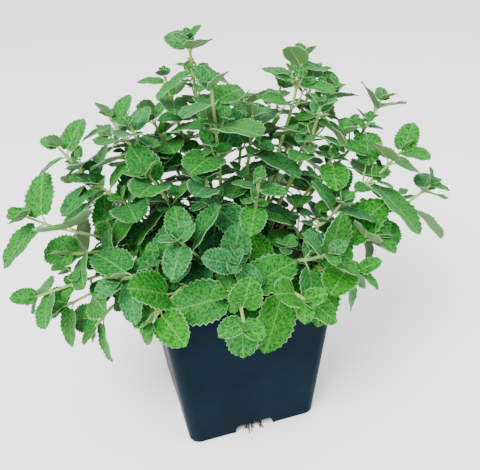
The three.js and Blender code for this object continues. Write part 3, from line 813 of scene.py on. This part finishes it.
# The length of a leaf that counts as newborn, and how much longer a full-grown one is.
NEWBORN = 6
GROWTH = 18
# The rib runs on under the blade to these shares of its length.
RIB_PLACES = (0.12, 0.4, 0.8)
LARGE_STALK = 0.5
SMALL_STALK = 0.3
STALK_BOW = 0.06
STALK_TAPER = (1.15, 1, 0.9, 0.75, 0.5)
RIB_END = 0.08
STEM_SQUARENESS = 0.1
EASED_STEPS = 6
WELD = 1e-4

sheets = {}


def sheet(bm, columns, rows):
    """A flat grid of faces: its points, and their places from 0 to 1 along and across."""
    if (columns, rows) not in sheets:
        flat = template(bmesh.ops.create_grid, x_segments=columns, y_segments=rows, size=0.5)
        sheets[columns, rows] = flat, np.array([v.co[:2] for v in flat.vertices]) + 0.5
    flat, places = sheets[columns, rows]
    return stamp(bm, flat), places[:, 0], places[:, 1]


def lay(bm, points, where, **carried):
    """Sets a sheet's points and the values that they carry."""
    layers = [(bm.verts.layers.float[name], np.broadcast_to(value, len(points)))
              for name, value in carried.items()]
    for i, (point, place) in enumerate(zip(points, where)):
        point.co = place
        for layer, values in layers:
            point[layer] = values[i]


def add_blade(bm, leaf, **carried):
    """One blade: a sheet with leaning teeth, folded at the midrib and waved at its margin."""
    teeth = TEETH if leaf.length > SMALL_LEAF else SMALL_TEETH
    points, along, across = sheet(bm, 2 * teeth, 4)
    share = across * 2 - 1
    edge = abs(share) > EDGE_SHARE
    tooth = np.rint(along * 2 * teeth) % 2 == 1
    width = np.maximum(blade_outline(along) ** TIP_FULLNESS,
                       np.where(along < 0.5, BASE_WIDTH, TIP_WIDTH))
    width = width * np.where(edge & ~tooth & (along > 0), 1 - TOOTH_DEPTH, 1)
    lobe = LOBE_DEPTH * share ** 2 * np.exp(-(along / LOBE_REACH) ** 2)
    tip = TIP_ROUND * share ** 2 * along ** TIP_POWER
    lean = np.where(edge & tooth, TOOTH_LEAN / teeth, 0) * (along < TIP_SHARE)
    t = along + lean - lobe - tip
    y = leaf.half * width * share
    soft = FOLD_SOFTNESS * leaf.length
    fold = BLADE_FOLD * (np.sqrt(y * y + soft * soft) - soft)
    phase = seeded(leaf.stem, leaf.pair, int(leaf.length * 100) % 7, 6) * math.pi
    wave = WAVE_HEIGHT * leaf.length * share ** 2 * np.sin(along * WAVE_ANGLE + phase + share)
    height = fold - BLADE_CURL * along * along * leaf.length + wave
    low, high = np.array(cad_size) / MM
    held = np.clip(on_blade(leaf, t, y, height), low + BOX_INSET, high - BOX_INSET)
    lay(bm, points, held, along=along, across=width * share,
        margin=abs(share), **carried)


def add_tube(bm, path, radii, sides, squareness=0, **carried):
    """A closed tube: a sheet rolled round a path, with its ends drawn together."""
    path = np.asarray(path)
    tangents = np.gradient(path, axis=0)
    tangents /= np.linalg.norm(tangents, axis=1)[:, None]
    across = [unit(np.cross(tangents[0], (0.31, 0.9, 0.2)))]
    for tangent in tangents[1:]:
        across.append(unit(across[-1] - tangent * (across[-1] @ tangent)))
    ends = [0, *range(len(path)), len(path) - 1]
    path, tangents, across = path[ends], tangents[ends], np.array(across)[ends]
    radii = np.array(radii)[ends] * ([0] + [1] * (len(ends) - 2) + [0])
    points, along, around = sheet(bm, len(ends) - 1, sides)
    ring = np.rint(along * (len(ends) - 1)).astype(int)
    angle = -2 * np.pi * around
    radius = radii[ring] * (1 + squareness * np.cos(4 * angle))
    beside = np.cross(tangents, across)
    where = (path[ring] + across[ring] * (radius * np.cos(angle))[:, None]
             + beside[ring] * (radius * np.sin(angle))[:, None])
    lay(bm, points, where, **{
        name: np.asarray(value)[ends][ring] if np.ndim(value) else value
        for name, value in carried.items()})


def add_stalk(bm, leaf, tone, age):
    """A leaf's stalk, bowed up from the stem and running on as the rib under its blade."""
    root = leaf.root + leaf.stalk * ROOT_OUT
    reach = np.linalg.norm(leaf.origin - root)
    bow = (root + leaf.origin) / 2 + leaf.stalk * STALK_BOW * reach
    rib = [on_blade(leaf, np.array([t]), np.array([0.0]),
                    np.array([blade_height(leaf, t, 0) - BLADE_THICKNESS]))[0]
           for t in RIB_PLACES]
    width = LARGE_STALK if leaf.length > SMALL_LEAF else SMALL_STALK
    add_tube(bm, [root, bow, leaf.origin - leaf.normal * BLADE_THICKNESS, *rib],
             [*(width * share for share in STALK_TAPER), RIB_END],
             STALK_SIDES, tone=tone, age=age)


def soften(rings):
    """A stem's centre line with its bends eased."""
    shares = np.linspace(0, len(rings) - 1, (len(rings) - 1) * EASED_STEPS + 1)
    lower = np.minimum(shares.astype(int), len(rings) - 2)
    part = (shares - lower)[:, None]
    line = rings[lower] * (1 - part) + rings[lower + 1] * part
    for _ in range(2):
        line[1:-1] = line[1:-1] / 2 + (line[:-2] + line[2:]) / 4
    return line


def spray(stem):
    """One stem's mesh: blades with two faces, then its stem, its shoots and all stalks."""
    bm = bmesh.new()
    for name in CARRIED:
        bm.verts.layers.float.new(name)
    tone = stem.row[6]
    own = [leaf for leaf in canopy.leaves if leaf.stem == stem.index]
    for leaf in own:
        leaf.age = float(np.clip((leaf.length - NEWBORN) / GROWTH, 0, 1))
        shade = seeded(leaf.stem, leaf.pair, int(leaf.length * 100) % 5, 7)
        leaf.tone = tone + TONE_SPREAD * shade
        # How deep in the plant the leaf sits, which sets how much painted shade its faces get.
        x, y, z = leaf.middle - (0, 0, SOIL_TOP)
        out = math.hypot(x / DEEP_SHADE_REACH, y / DEEP_SHADE_REACH, z / DEEP_SHADE_RISE)
        add_blade(bm, leaf, tone=leaf.tone, age=leaf.age,
                  inner=float(np.clip(DEEP_SHADE_EDGE - out, 0, 1)))
    bmesh.ops.remove_doubles(bm, verts=bm.verts, dist=WELD)
    for face in bm.faces:
        face.material_index = 1
    under = bmesh.ops.solidify(bm, geom=bm.faces[:], thickness=BLADE_THICKNESS)["geom"]
    for face in under:
        if isinstance(face, bmesh.types.BMFace):
            face.material_index = 2
    blades = set(bm.verts)
    line = soften(stem.rings)
    share = np.linspace(0, 1, len(line))
    radii = STEM_SIDE / 2 * (STEM_FULLNESS - (STEM_FULLNESS - STEM_END) * share)
    add_tube(bm, line, radii, STEM_SIDES, STEM_SQUARENESS, tone=tone, age=1 - share)
    for shoot in shoots:
        if shoot.index == stem.index:
            add_tube(bm, shoot.rings, np.linspace(*SHOOT_RADII, SHOOT_POINTS),
                     STALK_SIDES + 1, tone=tone, age=0.0)
    for leaf in own:
        add_stalk(bm, leaf, leaf.tone, 0.1)
    tubes = [v for v in bm.verts if v not in blades]
    bmesh.ops.remove_doubles(bm, verts=tubes, dist=WELD)
    return bm


def leaf_pattern(paint):
    """A blade's veins and the puckers between them, from its own length and width."""
    along, across = paint.carried("along"), paint.carried("across").size()
    rib = 1 - across.step(0.015, 0.06)
    bent = (paint.grain(90, 2) - 0.5) * 0.16
    course = (along - across * 0.3 - across * across * 0.12 + bent) * 6.5
    beside = ((course + 0.5).fraction() - 0.5).size()
    vein = 1 - beside.step(0.03, 0.13)
    cross = ((across * 5 + course * 0.5).fraction() - 0.5).size()
    pucker = beside.step(0.02, 0.3) * (0.55 + 0.45 * (1 - cross.step(0.2, 0.5)))
    return rib, vein, pucker


paint = new_paint("leaf, upper face")
rib, vein, pucker = leaf_pattern(paint)
tone, age, margin = paint.carried("tone"), paint.carried("age"), paint.carried("margin")
mottle = paint.grain(140, 3)
hue = paint.node("ValToRGB", {"stops": [
    (0.0, (0.022, 0.145, 0.06)), (0.5, (0.015, 0.155, 0.024)), (1.0, (0.017, 0.175, 0.007))]},
    {0: tone * 0.5 + 0.5 + (mottle - 0.5) * 0.6})
hue = ((1 - age) * 0.3).mix(hue, (0.04, 0.23, 0.05))
# Painted shade in the leaf's crinkles: the noise that sinks the surface in the bump also darkens it
# nearly to black where it sinks.
crinkle_and_shade = paint.grain(620, 3)
hue = (crinkle_and_shade.step(0.44, 0.62) * 0.72).mix(hue, (0.002, 0.028, 0.001))
# Painted highlights: fine bright light-green specks scattered over the blade.
hue = (paint.grain(1200, 2).step(0.5, 0.66) * 0.36).mix(hue, (0.06, 0.36, 0.03))
# Painted shade: leaves deep in the plant darkened nearly to black, with their veins and rib faded.
hue = (paint.carried("inner") * 0.45).mix(hue, (0.001, 0.016, 0.001))
outside_shade = 1 - paint.carried("inner") * 0.7
hue = (vein * outside_shade * 0.2 * (1 - margin * 0.5)).mix(hue, (0.12, 0.42, 0.06))
hue = (rib * outside_shade * 0.28).mix(hue, (0.2, 0.48, 0.1))
hue = (margin.step(0.93, 1) * 0.4).mix(hue, (0.36, 0.6, 0.3))
leaf_upper = finish_of(
    paint, hue, 0.62 - pucker * 0.12,
    paint.relief(pucker * 0.6 - crinkle_and_shade * 1.2 + paint.grain(2600, 2) * 0.15, 0.0006, 0.9),
    Sheen_Weight=0.02, Sheen_Roughness=0.4, Specular_IOR_Level=0.08)

paint = new_paint("leaf, under face")
rib, vein, pucker = leaf_pattern(paint)
tone, margin = paint.carried("tone"), paint.carried("margin")
hue = (tone * 0.5 + 0.5).mix((0.05, 0.15, 0.06), (0.08, 0.23, 0.03))
# Painted shade: the under faces of leaves deep in the plant darkened.
hue = (paint.carried("inner") * 0.7).mix(hue, (0.003, 0.02, 0.003))
hue = (vein * 0.25 + rib * 0.35).mix(hue, (0.2, 0.34, 0.12))
hue = (margin.step(0.93, 1) * 0.5).mix(hue, (0.36, 0.52, 0.33))
leaf_under = finish_of(
    paint, hue, 0.8, paint.relief(vein + rib + paint.grain(2600, 2) * 0.3, 0.0004, 0.7),
    Sheen_Weight=0.1, Sheen_Roughness=0.5, Specular_IOR_Level=0.2)

paint = new_paint("downy stem")
tone, age = paint.carried("tone"), paint.carried("age")
streak = paint.grain(500, 3, stretch=(1, 1, 0.1))
hue = (tone * 0.5 + 0.5).mix((0.17, 0.29, 0.09), (0.24, 0.38, 0.07))
hue = (age.step(0.45, 1) * streak.step(0.4, 0.65) * 0.7).mix(hue, (0.16, 0.09, 0.05))
stem_skin = finish_of(
    paint, hue, 0.7, paint.relief(streak + paint.grain(3000, 2) * 0.4, 0.0003, 0.6),
    Sheen_Weight=0.3, Sheen_Roughness=0.4, Specular_IOR_Level=0.3)

for stem in stems:
    number = f"{stem.index + 1:02d}"
    piece = to_object(f"spray_{number}", spray(stem), [stem_skin, leaf_upper, leaf_under])
    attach(piece, "root")
    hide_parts(f"leafy_stem_{number}")


# --- Rootlets --------------------------------------------------------------------------
# Fine brown roots that have found the drain slot under the front edge.
ROOTLETS = 16
ROOT_SEED = 14
ROOT_POINTS = 7
ROOT_REACH = (14, 22)
ROOT_START = (3, 4.6)
ROOT_SWING = 6
ROOT_LIFT = 0.8
ROOT_JITTER = 0.6
ROOT_RADII = (0.65, 0.3)


def rootlet(bm, draws):
    """One root, from the drain slot down to the table and out along it."""
    x = draws.uniform(-1, 1) * (DRAIN_WIDTH / 2 - 2)
    start = np.array((x, DRAIN_TOP - back, draws.uniform(*ROOT_START)))
    steps = np.linspace(0, 1, ROOT_POINTS)[:, None]
    swing = draws.uniform(-ROOT_SWING, ROOT_SWING)
    way = start + steps * (swing, -draws.uniform(*ROOT_REACH), 0)
    way[:, 2] = ROOT_LIFT + (start[2] - ROOT_LIFT) * (1 - steps[:, 0] ** 2)
    way[1:] += draws.uniform(-ROOT_JITTER, ROOT_JITTER, (ROOT_POINTS - 1, 3)) * (1, 1, 0.3)
    add_tube(bm, way, np.linspace(*ROOT_RADII, ROOT_POINTS), STALK_SIDES)


draws = np.random.default_rng(ROOT_SEED)
bm = bmesh.new()
for _ in range(ROOTLETS):
    rootlet(bm, draws)
bmesh.ops.remove_doubles(bm, verts=bm.verts, dist=WELD)
paint = new_paint("rootlet")
colour = paint.grain(900, 2).step(0.35, 0.65).mix((0.004, 0.003, 0.002), (0.025, 0.016, 0.01))
roots = to_object("rootlets", bm, [
    finish_of(paint, colour, 0.9, paint.relief(paint.grain(2400, 2), 0.0002))])
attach(roots, "root")


# --- Table, light and camera -----------------------------------------------------------
# A plain pale surface under soft light from the upper left, seen from the front and above.
TABLE_SIZE = 6000
SKY_COLOUR = (1, 0.985, 1, 1)
SKY_STRENGTH = 1.95

bm = bmesh.new()
bmesh.ops.create_grid(bm, x_segments=1, y_segments=1, size=TABLE_SIZE)
paint = new_paint("pale table")
colour = paint.grain(3, 2).mix((0.9, 0.885, 0.895), (0.93, 0.92, 0.93))
table = to_object("table", bm, [finish_of(paint, colour, 0.7)])

world = bpy.data.worlds.new("studio")
world.use_nodes = True
sky = world.node_tree.nodes["Background"].inputs
sky["Color"].default_value = SKY_COLOUR
sky["Strength"].default_value = SKY_STRENGTH
bpy.context.scene.world = world


def add_light(name, place, size, power):
    light = bpy.data.lights.new(name, "AREA")
    light.size, light.energy = size, power
    lamp = bpy.data.objects.new(name, light)
    lamp.location = place
    away = lamp.location.normalized()
    lamp.rotation_euler = away.to_track_quat("Z", "Y").to_euler()
    bpy.context.scene.collection.objects.link(lamp)


add_light("softbox_left", (-0.9, -0.8, 1.6), 0.9, 80)
add_light("softbox_right", (1.4, -0.5, 1.2), 1.2, 12)

AZIMUTH, ELEVATION, ROLL = (math.radians(a) for a in (16.0, 31.0, -2.78))
DISTANCE = 0.4149
TARGET = np.array((0.0092, 0, 0.1332))
LENS = 46.5
back = np.array((-math.sin(AZIMUTH) * math.cos(ELEVATION),
                 -math.cos(AZIMUTH) * math.cos(ELEVATION), math.sin(ELEVATION)))
right = unit(np.cross(-back, UP))
up = np.cross(right, -back)
turned_right = right * math.cos(ROLL) + up * math.sin(ROLL)
turned_up = up * math.cos(ROLL) - right * math.sin(ROLL)
camera = bpy.data.objects.new("camera", bpy.data.cameras.new("camera"))
camera.data.lens = LENS
camera.data.clip_start = 0.01
pose = Matrix(np.column_stack([turned_right, turned_up, back]).tolist()).to_4x4()
pose.translation = TARGET + back * DISTANCE
camera.matrix_world = pose
bpy.context.scene.collection.objects.link(camera)
bpy.context.scene.camera = camera
